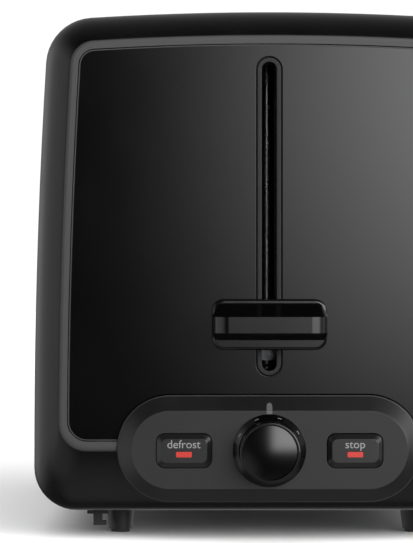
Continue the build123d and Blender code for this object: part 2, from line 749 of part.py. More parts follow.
# ---- controls ---------------------------------------------------------------
def browning_knob():
    """Knob: a thin rim, a short flare, and a drum that narrows to the lip at its front."""
    back = POD_FRONT - 0.4
    rim_front = back - 0.8
    flare_front = rim_front - KNOB_FLARE
    drum_radius = KNOB_LIP_RADIUS + 0.4
    knob = spindle(KNOB_RADIUS, 0, KNOB_Z, (rim_front, back))
    knob += knob_cone(KNOB_RADIUS, drum_radius, flare_front, rim_front)
    drum = knob_cone(drum_radius, KNOB_LIP_RADIUS, KNOB_FRONT + 0.6, flare_front)
    knob += fillet(drum.edges().filter_by(GeomType.CIRCLE).sort_by(Axis.Y)[:1], 0.5)
    knob -= spindle(CAP_RADIUS + 0.05, 0, KNOB_Z, (KNOB_FRONT, KNOB_FRONT + 3))
    return knob - spindle(SHAFT_RADIUS, 0, KNOB_Z, (KNOB_FRONT + 6, back + 1))


def knob_cone(back_radius, front_radius, front, back):
    cone = Cone(back_radius, front_radius, back - front)
    return Pos(0, (front + back) / 2, KNOB_Z) * Rot(90, 0, 0) * cone


def knob_cap():
    """Domed disc set into the knob's front."""
    disc = spindle(CAP_RADIUS, 0, KNOB_Z, (KNOB_FRONT + 1.4, KNOB_FRONT + 2.9))
    sphere_radius = 42.0
    dome = Pos(0, KNOB_FRONT + sphere_radius, KNOB_Z) * Sphere(sphere_radius)
    return disc + (dome & spindle(CAP_RADIUS, 0, KNOB_Z, (KNOB_FRONT - 1, KNOB_FRONT + 2.0)))


def knob_shaft():
    return spindle(SHAFT_RADIUS, 0, KNOB_Z, (KNOB_FRONT + 6, BOARD_Y[0] - 1.5))


def push_button(x):
    """Bevelled cap with a stem and a flange that keeps it in the control panel."""
    shoulder = POD_FRONT - 0.4
    flange = (POD_FRONT + 2.9, POD_FRONT + 3.9)
    cap = slab(tablet(BUTTON_SIZE, x, BUTTON_Z), shoulder, flange[0])
    rim = across(shoulder) * tablet(BUTTON_SIZE, x, BUTTON_Z)
    face = across(BUTTON_FRONT) * tablet(BUTTON_FACE, x, BUTTON_Z)
    cap += loft([rim, face], ruled=True)
    cap += slab(tablet(grown(BUTTON_SIZE, 1.2), x, BUTTON_Z), *flange)
    stem_end = BOARD_Y[0] - SWITCH_DEPTH - BUTTON_TRAVEL - FIT
    stem_z = (BUTTON_Z - 2.5, BUTTON_Z + 2.5)
    return cap + block((x - 2.5, x + 2.5), (flange[1], stem_end), stem_z)


def button_lens(x):
    """Small red light pipe, flush with the button's face and under its name."""
    window = tablet(LENS_SIZE, x, BUTTON_Z - LENS_DROP)
    return slab(window, BUTTON_FRONT, BUTTON_FRONT + 2.0)


# ---- assembly ---------------------------------------------------------------
def build():
    keep("front_bezel", front_bezel())
    keep("front_panel", front_panel())
    keep("lever_slot_trim", lever_slot_trim())
    keep("main_housing", main_housing())
    keep("rear_cover", rear_cover())
    keep("control_panel", control_panel())
    keep("base_plate", base_plate())
    corners = [(x, y) for x in (-FOOT_X, FOOT_X) for y in FOOT_Y]
    keep("feet", Compound([foot(x, y) for x, y in corners]))
    keep("foot_pads", Compound([foot_pad(x, y) for x, y in corners]))
    cleats = [(x, y) for x in (-CLEAT_X, CLEAT_X) for y in CLEAT_Y]
    keep("cord_cleats", Compound([cord_cleat(x, y) for x, y in cleats]))
    screws = [screw_up(x, y, BODY_BOTTOM, 12) for x, y in BOSS_POINTS]
    keep("base_screws", Compound(screws))
    keep("crumb_tray", crumb_tray())
    keep("tray_handle", tray_handle())
    keep("front_bulkhead", front_bulkhead())
    keep("rear_bulkhead", bulkhead(REAR_BULKHEAD))
    for x in (-SLOT_X, SLOT_X):
        keep(one_side("slot_liner", x), slot_liner(x))
        keep(one_side("bread_lift", x), bread_lift(x))
        keep(one_side("guide", x) + "_inner", bread_guide(x, -math.copysign(1, x)))
        keep(one_side("guide", x) + "_outer", bread_guide(x, math.copysign(1, x)))
        keep(one_side("heat_shield", x), heat_shield(math.copysign(SHIELD_X, x)))
    for name, x in (("left", -HEATER_X), ("centre", 0), ("right", HEATER_X)):
        keep("heater_board_" + name, heater_board(x))
        keep("heater_ribbon_" + name, heater_ribbon(x))
    keep("guide_rod", guide_rod())
    keep("spring_seat", spring_seat())
    keep("lift_spring", lift_spring())
    keep("carriage", carriage())
    keep("carriage_bush", carriage_bush())
    keep("lever_arm", lever_arm())
    keep("lever_handle", lever_handle())
    keep("magnet_armature", magnet_armature())
    keep("contact_pusher", contact_pusher())
    keep("magnet_core", magnet_core())
    keep("magnet_coil", magnet_coil())
    keep("power_contacts", power_contacts())
    keep("circuit_board", circuit_board())
    keep("board_screws", Compound([board_screw(x, z) for x, z in BOARD_SCREWS]))
    keep("potentiometer", potentiometer())
    switches = [tact_switch(x) for x in (-BUTTON_X, BUTTON_X)]
    keep("button_switches", Compound(switches))
    diodes = [indicator_led(x) for x in (-BUTTON_X, BUTTON_X)]
    keep("indicator_leds", Compound(diodes))
    keep("capacitor", capacitor())
    keep("transformer", transformer())
    keep("terminal_block", terminal_block())
    keep("cord_gland", cord_gland())
    leads = [power_lead(x) for x in (-LEAD_X, LEAD_X)]
    keep("power_leads", Compound(leads))
    keep("browning_knob", browning_knob())
    keep("knob_cap", knob_cap())
    keep("knob_shaft", knob_shaft())
    for name, x in (("defrost", -BUTTON_X), ("stop", BUTTON_X)):
        keep(name + "_button", push_button(x) - button_lens(x))
        keep(name + "_lens", button_lens(x))


build()
os.makedirs("parts", exist_ok=True)
for node, shape in PARTS.items():
    export_step(Pos(0, 0, -FLOOR) * shape, f"parts/{node}.step")
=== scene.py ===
import json
import math

import bmesh
import bpy
from mathutils import Matrix, Vector


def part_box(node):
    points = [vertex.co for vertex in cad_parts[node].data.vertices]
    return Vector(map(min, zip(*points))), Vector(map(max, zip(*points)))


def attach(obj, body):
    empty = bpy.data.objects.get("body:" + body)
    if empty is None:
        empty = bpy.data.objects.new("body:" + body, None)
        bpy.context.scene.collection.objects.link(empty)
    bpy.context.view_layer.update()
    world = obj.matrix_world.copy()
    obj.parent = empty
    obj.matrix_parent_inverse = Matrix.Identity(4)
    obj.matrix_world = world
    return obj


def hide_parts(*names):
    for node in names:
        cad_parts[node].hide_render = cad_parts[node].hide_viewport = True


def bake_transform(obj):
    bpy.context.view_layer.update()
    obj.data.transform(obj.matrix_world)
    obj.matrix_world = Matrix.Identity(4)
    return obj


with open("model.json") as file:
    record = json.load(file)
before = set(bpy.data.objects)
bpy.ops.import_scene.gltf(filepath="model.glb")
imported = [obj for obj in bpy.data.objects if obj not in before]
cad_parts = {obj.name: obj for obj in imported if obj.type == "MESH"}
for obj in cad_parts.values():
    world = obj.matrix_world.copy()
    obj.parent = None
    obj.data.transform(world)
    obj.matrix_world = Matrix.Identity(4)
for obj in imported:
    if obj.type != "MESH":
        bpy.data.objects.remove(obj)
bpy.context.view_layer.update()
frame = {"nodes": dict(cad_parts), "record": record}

MM = 0.001


# ---- helpers ----------------------------------------------------------------
def middle(node):
    """The middle of a CAD node's box."""
    low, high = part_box(node)
    return (low + high) / 2


def new_object(name, mesh):
    piece = bpy.data.objects.new(name, mesh)
    bpy.context.scene.collection.objects.link(piece)
    return piece


def mesh_from_bmesh(name, shape):
    mesh = bpy.data.meshes.new(name)
    shape.to_mesh(mesh)
    shape.free()
    return mesh


def paint(piece, material):
    piece.data.materials.clear()
    piece.data.materials.append(material)


def set_inputs(node, **values):
    for name, value in values.items():
        node.inputs[name.replace("_", " ")].default_value = value


# ---- materials --------------------------------------------------------------
def surface(name, colour, rough, metal=0.0, vary=0.15, rough_vary=0.05, grain=0.3, depth=0.004,
            stretch=(1, 1, 1), coat=0.0, glow=0.0, ior=1.5, blotch=25.0):
    """A material whose colour, roughness and fine relief vary over the surface.

    grain is the relief's size and depth its height, both in millimetres; blotch is
    the size in millimetres of the slow changes in colour and roughness.
    """
    material = bpy.data.materials.new(name)
    material.use_nodes = True
    nodes, links = material.node_tree.nodes, material.node_tree.links
    shader = nodes["Principled BSDF"]
    shader.inputs["Metallic"].default_value = metal
    shader.inputs["IOR"].default_value = ior
    shader.inputs["Coat Weight"].default_value = coat
    shader.inputs["Coat Roughness"].default_value = 0.08
    if glow:
        shader.inputs["Emission Color"].default_value = (*colour, 1)
        shader.inputs["Emission Strength"].default_value = glow
    place = nodes.new("ShaderNodeTexCoord")
    mapping = nodes.new("ShaderNodeMapping")
    mapping.inputs["Scale"].default_value = stretch
    links.new(place.outputs["Object"], mapping.inputs["Vector"])
    slow = nodes.new("ShaderNodeTexNoise")
    set_inputs(slow, Scale=1000.0 / blotch, Detail=4.0, Roughness=0.6)
    links.new(mapping.outputs["Vector"], slow.inputs["Vector"])
    tint = nodes.new("ShaderNodeMix")
    tint.data_type = "RGBA"
    tint.inputs["A"].default_value = (*[c * (1 - vary) for c in colour], 1)
    tint.inputs["B"].default_value = (*[min(1.0, c * (1 + vary)) for c in colour], 1)
    links.new(slow.outputs["Fac"], tint.inputs["Factor"])
    links.new(tint.outputs["Result"], shader.inputs["Base Color"])
    fine = nodes.new("ShaderNodeTexNoise")
    set_inputs(fine, Scale=1000.0 / grain, Detail=2.0, Roughness=0.5)
    links.new(mapping.outputs["Vector"], fine.inputs["Vector"])
    gloss = nodes.new("ShaderNodeMapRange")
    set_inputs(gloss, From_Min=0.3, From_Max=0.7, To_Min=rough - rough_vary, To_Max=rough + rough_vary)
    links.new(slow.outputs["Fac"], gloss.inputs["Value"])
    links.new(gloss.outputs["Result"], shader.inputs["Roughness"])
    relief = nodes.new("ShaderNodeBump")
    set_inputs(relief, Strength=1.0, Distance=depth * MM)
    links.new(fine.outputs["Fac"], relief.inputs["Height"])
    links.new(relief.outputs["Normal"], shader.inputs["Normal"])
    return material


def grey(value):
    return (value, value, value * 1.02)


MATERIALS = {
    "shell_gloss": surface("satin_black_shell", grey(0.0015), 0.24, grain=0.35, depth=0.003),
    "panel_metal": surface("dark_panel_metal", grey(0.002), 0.07, grain=0.5, depth=0.0001,
                           rough_vary=0.01),
    "trim_metal": surface("slot_trim", grey(0.004), 0.40, grain=0.3, depth=0.002, ior=1.42),
    "liner_metal": surface("brushed_liner", grey(0.42), 0.32, metal=1.0, grain=0.15, depth=0.004,
                           stretch=(1, 0.03, 1)),
    "control_gloss": surface("satin_control_panel", grey(0.006), 0.40, grain=0.3, depth=0.003),
    "knob_gloss": surface("gloss_black", grey(0.002), 0.15, grain=0.8, depth=0.0006, rough_vary=0.02),
    "button_gloss": surface("satin_button", grey(0.007), 0.32, grain=0.3, depth=0.002),
    "red_lens": surface("red_window", (0.45, 0.022, 0.014), 0.3, grain=0.4, depth=0.001, glow=0.1),
    "base_plastic": surface("base_plastic", grey(0.012), 0.55, grain=0.4, depth=0.02),
    "foot_plastic": surface("foot_plastic", grey(0.003), 0.5, grain=0.4, depth=0.01),
    "pad_rubber": surface("pad_rubber", grey(0.015), 0.75, grain=0.25, depth=0.03),
    "galvanised": surface("galvanised_sheet", (0.52, 0.53, 0.55), 0.36, metal=1.0, blotch=6.0,
                          vary=0.25, rough_vary=0.12, grain=0.6, depth=0.004),
    "chrome_wire": surface("plated_wire", grey(0.6), 0.16, metal=1.0, grain=0.5, depth=0.003),
    "ground_steel": surface("ground_steel", grey(0.5), 0.28, metal=1.0, grain=0.15, depth=0.004,
                            stretch=(1, 0.05, 1)),
    "spring_steel": surface("spring_steel", grey(0.35), 0.3, metal=1.0, grain=0.3, depth=0.004),
    "mica": surface("mica_card", (0.5, 0.42, 0.3), 0.4, blotch=9.0, vary=0.35, grain=1.2, depth=0.02),
    "heating_ribbon": surface("heating_ribbon", (0.3, 0.25, 0.22), 0.45, metal=1.0, vary=0.3, blotch=8),
    "brass_bush": surface("sintered_bush", (0.6, 0.42, 0.18), 0.4, metal=1.0, grain=0.2, depth=0.01),
    "iron_core": surface("laminated_iron", grey(0.2), 0.45, metal=1.0, grain=0.5, depth=0.02,
                         stretch=(1, 12, 1)),
    "copper_winding": surface("copper_winding", (0.55, 0.2, 0.08), 0.35, metal=1.0, grain=0.35,
                              depth=0.06, stretch=(0.05, 0.05, 1)),
    "board_green": surface("circuit_board", (0.02, 0.12, 0.05), 0.35, grain=1.0, depth=0.01),
    "component_black": surface("moulded_black", grey(0.02), 0.5, grain=0.3, depth=0.01),
    "component_blue": surface("sleeved_can", (0.02, 0.05, 0.2), 0.3, grain=0.6, depth=0.004),
    "insulation_grey": surface("lead_insulation", grey(0.14), 0.5, grain=0.4, depth=0.006),
    "terminal_white": surface("terminal_block", (0.7, 0.68, 0.62), 0.45, grain=0.4, depth=0.008),
    "screw_steel": surface("zinc_screw", grey(0.5), 0.3, metal=1.0, grain=0.4, depth=0.006),
}
CAP_GLOSS = surface("domed_cap", grey(0.001), 0.19, grain=0.8, depth=0.0006, rough_vary=0.02)
SLEEVE_SATIN = surface("satin_sleeve", grey(0.003), 0.45, grain=0.35, depth=0.003, ior=1.4)
# Painted highlight: the rim's light grey stands in for the thin light line along the panel's folded
# edge.
RIM_PAINTED_HIGHLIGHT = surface("rim_painted_highlight", grey(0.03), 0.4, grain=0.3, depth=0.002)
PRINT = surface("light_print", grey(0.24), 0.5, grain=0.2, depth=0.003)
MARK = surface("grey_mark", grey(0.11), 0.45, grain=0.2, depth=0.003)
# Painted glint: light grey arcs on the knob's flare.
PAINTED_GLINT = surface("knob_glint_paint", grey(0.2), 0.35, grain=0.2, depth=0.003)

slot_of = {row["node"]: row["material_slot"] for row in frame["record"]["subparts"]}
for node, cad in frame["nodes"].items():
    for slot in cad.material_slots:
        slot.material = MATERIALS[slot_of[node]]
for node, material in (("knob_cap", CAP_GLOSS), ("main_housing", SLEEVE_SATIN)):
    for slot in frame["nodes"][node].material_slots:
        slot.material = material


# ---- edges: the moulded and stamped pieces get small rounded edges ------------
def body_of(node):
    for body, members in frame["record"]["behaviour"]["bodies"].items():
        if node in members:
            return body
    raise ValueError(node)


def soften(node, radius, segments=2, angle=20.0):
    """A copy of a CAD node with rounded edges, which stands for it."""
    source = frame["nodes"][node].data
    shape = bmesh.new()
    corners = [shape.verts.new(v.co) for v in source.vertices]
    for face in source.polygons:
        shape.faces.new([corners[i] for i in face.vertices])
    bmesh.ops.remove_doubles(shape, verts=shape.verts, dist=0.001 * MM)
    bmesh.ops.dissolve_limit(shape, angle_limit=math.radians(0.05), verts=shape.verts,
                             edges=shape.edges)
    sharp = [e for e in shape.edges
             if e.is_manifold and e.calc_face_angle(0.0) > math.radians(angle)]
    bmesh.ops.bevel(shape, geom=sharp, offset=radius * MM, offset_type="OFFSET",
                    segments=segments, profile=0.5, affect="EDGES", clamp_overlap=True)
    for face in shape.faces:
        face.smooth = True
    piece = new_object(node + "_finished", mesh_from_bmesh(node + "_finished", shape))
    normals = piece.modifiers.new("normals", "WEIGHTED_NORMAL")
    normals.keep_sharp = True
    normals.weight = 80
    paint(piece, MATERIALS[slot_of[node]])
    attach(piece, body_of(node))
    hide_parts(node)
    return piece


# ---- outer shells: smooth skins worked out from the body's outline -------------
# Lengths in this section are in millimetres, and heights are from the floor.
shell_low, shell_high = [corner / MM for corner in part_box("front_bezel")]
HALF_WIDTH = shell_high.x     # at WIDEST_HEIGHT
BODY_TOP = shell_high.z
BODY_BOTTOM = shell_low.z
WIDEST_HEIGHT = 33.3
SIDE_BULGE = 1.87e-4          # how fast the side draws in, per mm squared
CROWN = 4.46e-4               # how fast the top falls away from the middle
BODY_RADII = (19.0, 17.0)     # top corners, bottom corners
WALL = 2.5
FIT = 0.3                     # clearance between pieces that don't touch
EDGE_RADIUS = 17.4            # rounded edge between the sides and an end
EDGE_START = 25.0             # degrees from facing straight out of the end
EDGE_STEPS = 14
LAND_Y = -135.0
LAND_INSET = (11.0, 10.8, 25.5)       # side, top, bottom
LAND_RADII = (9.0, 10.5)
PANEL_INSET = (14.0, 13.9, 28.4)
PANEL_RADII = (6.0, 7.5)
REAR_Y = 156.0
REAR_INSET = (9.8, 9.1, 4.0)
REAR_RADII = (12.0, 9.0)
BEZEL_BACK = -105.15
REAR_FRONT = 118.15
LOUVRE_SIZE = (30, 3.2)
LOUVRE_X = (-38, 0, 38)
LOUVRE_Z = [99.3 + 9 * row for row in range(7)]
GLAND_HOLE_RADIUS = 6.05
CORNER_STEPS = 10
RUN_STEPS = 10
CREASE = 35.0                 # degrees: edges sharper than this stay sharp


def circle_through(a, b, c):
    """Centre and radius of the circle through three points."""
    ax, az = a
    bx, bz = b[0] - ax, b[1] - az
    cx, cz = c[0] - ax, c[1] - az
    twice = 2 * (bx * cz - bz * cx)
    b_square, c_square = bx * bx + bz * bz, cx * cx + cz * cz
    x = (cz * b_square - bz * c_square) / twice
    z = (bx * c_square - cx * b_square) / twice
    return (ax + x, az + z), math.hypot(x, z)


def arc(centre, radius, start, end, steps):
    """Points along an arc, without the last one."""
    points = []
    for step in range(steps):
        angle = start + (end - start) * step / steps
        points.append((centre[0] + radius * math.cos(angle), centre[1] + radius * math.sin(angle)))
    return points


def outline(inset, radii):
    """Points around the body's outline, drawn in by (side, top, bottom)."""
    side, top, bottom = inset
    top_radius, bottom_radius = radii

    def half_width(z):
        return HALF_WIDTH - SIDE_BULGE * (z - WIDEST_HEIGHT) ** 2 - side

    low = BODY_BOTTOM + bottom
    peak = BODY_TOP - top
    corner_x = half_width(peak)
    corner_z = peak - CROWN * corner_x**2
    middle_z = (low + corner_z) / 2
    flank, flank_radius = circle_through((half_width(low), low), (half_width(middle_z), middle_z),
                                         (corner_x, corner_z))
    crown, crown_radius = circle_through((corner_x, corner_z), (0, peak), (-corner_x, corner_z))
    foot_z = low + bottom_radius
    foot_x = flank[0] + math.sqrt((flank_radius - bottom_radius) ** 2 - (foot_z - flank[1]) ** 2)
    reach_flank = flank_radius - top_radius
    reach_crown = crown_radius - top_radius
    gap = math.dist(flank, crown)
    along = (reach_flank**2 - reach_crown**2 + gap**2) / (2 * gap)
    off = math.sqrt(reach_flank**2 - along**2)
    ux, uz = (crown[0] - flank[0]) / gap, (crown[1] - flank[1]) / gap
    shoulder_x = flank[0] + along * ux - off * uz
    shoulder_z = flank[1] + along * uz + off * ux
    if shoulder_x < 0 or shoulder_z < middle_z:
        shoulder_x = flank[0] + along * ux + off * uz
        shoulder_z = flank[1] + along * uz - off * ux
    foot_angle = math.atan2(foot_z - flank[1], foot_x - flank[0])
    shoulder_angle = math.atan2(shoulder_z - flank[1], shoulder_x - flank[0])
    crown_angle = math.atan2(shoulder_z - crown[1], shoulder_x - crown[0])
    right = [(foot_x * step / RUN_STEPS, low) for step in range(RUN_STEPS)]
    right += arc((foot_x, foot_z), bottom_radius, -math.pi / 2, foot_angle, CORNER_STEPS)
    right += arc(flank, flank_radius, foot_angle, shoulder_angle, RUN_STEPS)
    right += arc((shoulder_x, shoulder_z), top_radius, shoulder_angle, crown_angle, CORNER_STEPS)
    right += arc(crown, crown_radius, crown_angle, math.pi / 2, RUN_STEPS)
    right.append((0, peak))
    return right + [(-x, z) for x, z in right[-2:0:-1]]


def rounded_rings(inset, radii, face_y, way, depth=0.0):
    """Rings over a rounded end, from its flat face back to the straight sides."""
    start = math.radians(EDGE_START)
    rings = []
    for step in range(EDGE_STEPS + 1):
        angle = start + (math.pi / 2 - start) * step / EDGE_STEPS
        share = (1 - math.sin(angle)) / (1 - math.sin(start))
        drop = EDGE_RADIUS * (math.cos(start) - math.cos(angle)) + depth * math.cos(angle)
        sunk = [share * value + depth * math.sin(angle) for value in inset]
        corners = [full + (small - full) * share - depth * math.sin(angle)
                   for full, small in zip(BODY_RADII, radii)]
        rings.append((outline(sunk, corners), face_y + way * drop))
    return rings


def straight_ring(depth, y):
    sunk = (depth, depth, depth)
    return outline(sunk, [radius - depth for radius in BODY_RADII]), y


def skin(name, rings, closed):
    """A mesh over rings of (points, y): joined end to end, or capped at both ends."""
    shape = bmesh.new()
    rows = [[shape.verts.new((x * MM, y * MM, z * MM)) for x, z in points] for points, y in rings]
    count = len(rows[0])
    pairs = list(zip(rows, rows[1:] + rows[:1])) if closed else list(zip(rows, rows[1:]))
    for a, b in pairs:
        for i in range(count):
            j = (i + 1) % count
            shape.faces.new((a[i], a[j], b[j], b[i]))
    if not closed:
        shape.faces.new(rows[0])
        shape.faces.new(rows[-1])
    bmesh.ops.recalc_face_normals(shape, faces=shape.faces)
    piece = new_object(name, mesh_from_bmesh(name, shape))
    smooth(piece)
    return piece


def smooth(piece):
    for face in piece.data.polygons:
        face.use_smooth = True
    piece.data.set_sharp_from_angle(angle=math.radians(CREASE))


def stand_in(piece, node):
    """Show the piece instead of the CAD node it was made for."""
    paint(piece, MATERIALS[slot_of[node]])
    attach(piece, body_of(node))
    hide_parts(node)


def cut(piece, cutter):
    """Take the cutter's shape out of the piece."""
    tool = piece.modifiers.new("cut", "BOOLEAN")
    tool.object = cutter
    tool.solver = "EXACT"
    bpy.context.view_layer.update()
    graph = bpy.context.evaluated_depsgraph_get()
    mesh = bpy.data.meshes.new_from_object(piece.evaluated_get(graph))
    piece.modifiers.clear()
    piece.data = mesh
    bpy.data.objects.remove(cutter)


def prism(shape, points, front, back):
    """A straight prism from an outline of (x, z) points, added to a bmesh."""
    ends = [[shape.verts.new((x * MM, y * MM, z * MM)) for x, z in points] for y in (front, back)]
    count = len(points)
    made = [shape.faces.new(ends[0]), shape.faces.new(ends[1][::-1])]
    for i in range(count):
        j = (i + 1) % count
        made.append(shape.faces.new((ends[0][i], ends[1][i], ends[1][j], ends[0][j])))
    bmesh.ops.recalc_face_normals(shape, faces=made)


def stadium(x, z, width, height):
    half, radius = width / 2 - height / 2, height / 2
    right = arc((x + half, z), radius, -math.pi / 2, math.pi / 2, 8)
    left = arc((x - half, z), radius, math.pi / 2, 1.5 * math.pi, 8)
    return right + [(x + half, z + radius)] + left + [(x - half, z - radius)]


def pod_cutter(front, back):
    """The control panel's outline with its clearance, as a solid to cut with."""
    low, high = [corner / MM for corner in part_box("control_panel")]
    shape = bmesh.new()
    pod = stadium(0, (low.z + high.z) / 2, high.x - low.x + 2 * FIT, high.z - low.z + 2 * FIT)
    prism(shape, pod, front, back)
    return new_object("pod_cutter", mesh_from_bmesh("pod_cutter", shape))


def bezel_material_painted_land_highlight():
    """The shell's satin black, which turns to a duller satin on the flat land, where a lighter colour
    is painted on as highlight for the light the forward-facing land catches.
    """
    material = MATERIALS["shell_gloss"].copy()
    material.name = "bezel_shell_painted_land_highlight"
    nodes, links = material.node_tree.nodes, material.node_tree.links
    shader = nodes["Principled BSDF"]
    place = next(node for node in nodes if node.type == "TEX_COORD")
    parts = nodes.new("ShaderNodeSeparateXYZ")
    links.new(place.outputs["Object"], parts.inputs["Vector"])
    # Mask of the flat land, where the painted highlight and the duller finish go.
    land_highlight_and_roughness_mask = nodes.new("ShaderNodeMapRange")
    land_highlight_and_roughness_mask.interpolation_type = "SMOOTHSTEP"
    set_inputs(land_highlight_and_roughness_mask, From_Min=(LAND_Y + 0.35) * MM, From_Max=(LAND_Y + 0.05) * MM,
               To_Min=0.0, To_Max=1.0)
    links.new(parts.outputs["Y"], land_highlight_and_roughness_mask.inputs["Value"])
    # Painted highlight: the land's lighter base colour stands in for the light it catches; its higher
    # roughness is its real duller finish.
    for socket, land_highlight_and_roughness in (("Base Color", (*grey(0.035), 1)), ("Roughness", 0.42)):
        blend = nodes.new("ShaderNodeMix")
        blend.data_type = "RGBA" if socket == "Base Color" else "FLOAT"
        enabled = [end for end in blend.inputs if end.enabled]
        factor, shell_end, land_highlight_and_roughness_end = enabled
        source = shader.inputs[socket].links[0].from_socket
        links.new(land_highlight_and_roughness_mask.outputs["Result"], factor)
        links.new(source, shell_end)
        land_highlight_and_roughness_end.default_value = land_highlight_and_roughness
        result = next(end for end in blend.outputs if end.enabled)
        links.new(result, shader.inputs[socket])
    return material


def bezel_skin():
    """Front frame: land, soft crease, rounded edge and straight sides, with its wall."""
    opening = ([value - FIT for value in PANEL_INSET], [value + FIT for value in PANEL_RADII])
    blend = 0.8
    beside_crease = ([value + blend for value in LAND_INSET], [value - blend for value in LAND_RADII])
    lip_back = LAND_Y + WALL + 2.0
    rings = [(outline(*opening), lip_back), (outline(*opening), LAND_Y),
             (outline(*beside_crease), LAND_Y)]
    rings += rounded_rings(LAND_INSET, LAND_RADII, LAND_Y, 1)
    rings += [straight_ring(0, BEZEL_BACK), straight_ring(WALL, BEZEL_BACK)]
    rings += rounded_rings(LAND_INSET, LAND_RADII, LAND_Y, 1, WALL)[::-1]
    rings.append((rings[-1][0], lip_back))
    piece = skin("front_bezel_skin", rings, closed=True)
    pod_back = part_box("control_panel")[1].y / MM
    cut(piece, pod_cutter(LAND_Y - 5, pod_back + 1))
    smooth(piece)
    stand_in(piece, "front_bezel")
    paint(piece, bezel_material_painted_land_highlight())


def rear_skin():
    """Rear shell with its louvres, the tray's mouth and the cord gland's hole."""
    rings = [straight_ring(WALL, REAR_FRONT)]
    rings += rounded_rings(REAR_INSET, REAR_RADII, REAR_Y, -1, WALL)[::-1]
    inside = skin("rear_inside", rings, closed=False)
    rings = [straight_ring(0, REAR_FRONT + 0.001)]
    rings += rounded_rings(REAR_INSET, REAR_RADII, REAR_Y, -1)[::-1]
    piece = skin("rear_cover_skin", rings, closed=False)
    front_cut = bmesh.new()
    prism(front_cut, straight_ring(WALL, 0)[0], REAR_FRONT - 5, REAR_FRONT + 1)
    hollow = new_object("hollow", mesh_from_bmesh("hollow", front_cut))
    cut(piece, hollow)
    cut(piece, inside)
    holes = bmesh.new()
    mouth_low, mouth_high = [corner.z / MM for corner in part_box("tray_handle")]
    mouth_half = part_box("tray_handle")[1].x / MM + 0.5
    mouth = [(-mouth_half, mouth_low - 0.5), (mouth_half, mouth_low - 0.5),
             (mouth_half, mouth_high + 0.5), (-mouth_half, mouth_high + 0.5)]
    prism(holes, mouth, REAR_FRONT - 3, REAR_Y + 2)
    for z in LOUVRE_Z:
        for x in LOUVRE_X:
            prism(holes, stadium(x, z, *LOUVRE_SIZE), REAR_Y - 6, REAR_Y + 2)
    gland = middle("cord_gland") / MM
    prism(holes, arc((gland.x, gland.z), GLAND_HOLE_RADIUS, 0, 2 * math.pi, 32), REAR_Y - 8, REAR_Y + 2)
    cut(piece, new_object("holes", mesh_from_bmesh("holes", holes)))
    smooth(piece)
    stand_in(piece, "rear_cover")


def panel_rim():
    """Folded edge around the front panel, which stops at the control panel; its light grey is a painted
    highlight along the edge.
    """
    rim_y = LAND_Y + 0.9
    rings = []
    for margin, y in ((0.0, rim_y + 0.3), (0.0, rim_y), (0.45, rim_y), (0.45, rim_y + 0.3)):
        points = outline([value + margin for value in PANEL_INSET],
                         [value - margin for value in PANEL_RADII])
        rings.append((points, y))
    piece = skin("panel_rim", rings, closed=True)
    cut(piece, pod_cutter(rim_y - 3, rim_y + 3))
    smooth(piece)
    paint(piece, RIM_PAINTED_HIGHLIGHT)
    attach(piece, "housing")


bezel_skin()
rear_skin()
panel_rim()

SOFT_EDGES = {
    "control_panel": 0.35,
    "lever_handle": 0.45,
    "defrost_button": 0.3,
    "stop_button": 0.3,
    "lever_slot_trim": 0.3,
    "front_panel": 0.2,
    "tray_handle": 0.3,
}
for node, radius in SOFT_EDGES.items():
    soften(node, radius)


# ---- lift spring ------------------------------------------------------------
def lift_spring():
    """Coil spring around the guide rod, drawn at one fixed length: the real spring stretches as the
    carriage rises, this piece does not.
    """
    low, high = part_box("lift_spring")
    wire = 0.6 * MM
    coil_radius = (high.x - low.x) / 2 - wire
    turns = 11
    per_turn = 28
    curve = bpy.data.curves.new("coil_spring", "CURVE")
    curve.dimensions = "3D"
    curve.bevel_depth = wire
    curve.bevel_resolution = 3
    spline = curve.splines.new("POLY")
    count = turns * per_turn
    spline.points.add(count)
    centre = (low + high) / 2
    height = high.z - low.z - 2 * wire
    for step in range(count + 1):
        angle = 2 * math.pi * step / per_turn
        share = step / count
        x = centre.x + coil_radius * math.cos(angle)
        y = centre.y + coil_radius * math.sin(angle)
        spline.points[step].co = (x, y, low.z + wire + height * share, 1)
    draft = new_object("coil_draft", curve)
    mesh = bpy.data.meshes.new_from_object(draft)
    mesh.name = "coil_spring"
    bpy.data.objects.remove(draft)
    for face in mesh.polygons:
        face.use_smooth = True
    piece = new_object("coil_spring", mesh)
    paint(piece, MATERIALS["spring_steel"])
    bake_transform(piece)
    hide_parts("lift_spring")


lift_spring()


# ---- printing and marks -------------------------------------------------------
def lettering(name, words, width, baseline, face_y, body, scale=None):
    """A short generic function word, printed on a front-facing surface."""
    text = bpy.data.curves.new(name, "FONT")
    text.body = words
    text.align_x = "CENTER"
    text.size = 1.0
    text.extrude = 0.0
    text.resolution_u = 4
    draft = new_object(name + "_draft", text)
    bpy.context.view_layer.update()
    if scale is None:
        scale = width / draft.dimensions.x
    mesh = bpy.data.meshes.new_from_object(draft)
    mesh.name = name
    bpy.data.objects.remove(draft)
    reach = [v.co.x for v in mesh.vertices]
    x = baseline[0] - scale * (min(reach) + max(reach)) / 2
    mesh.transform(Matrix.Translation((x, face_y, baseline[1]))
                   @ Matrix.Rotation(math.pi / 2, 4, "X") @ Matrix.Scale(scale, 4))
    shape = bmesh.new()
    shape.from_mesh(mesh)
    film = 0.02 * MM
    made = bmesh.ops.extrude_face_region(shape, geom=shape.faces[:])
    lifted = [g for g in made["geom"] if isinstance(g, bmesh.types.BMVert)]
    bmesh.ops.translate(shape, verts=lifted, vec=(0, -film, 0))
    bmesh.ops.recalc_face_normals(shape, faces=shape.faces)
    shape.to_mesh(mesh)
    shape.free()
    piece = new_object(name, mesh)
    paint(piece, PRINT)
    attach(piece, body)
    return scale


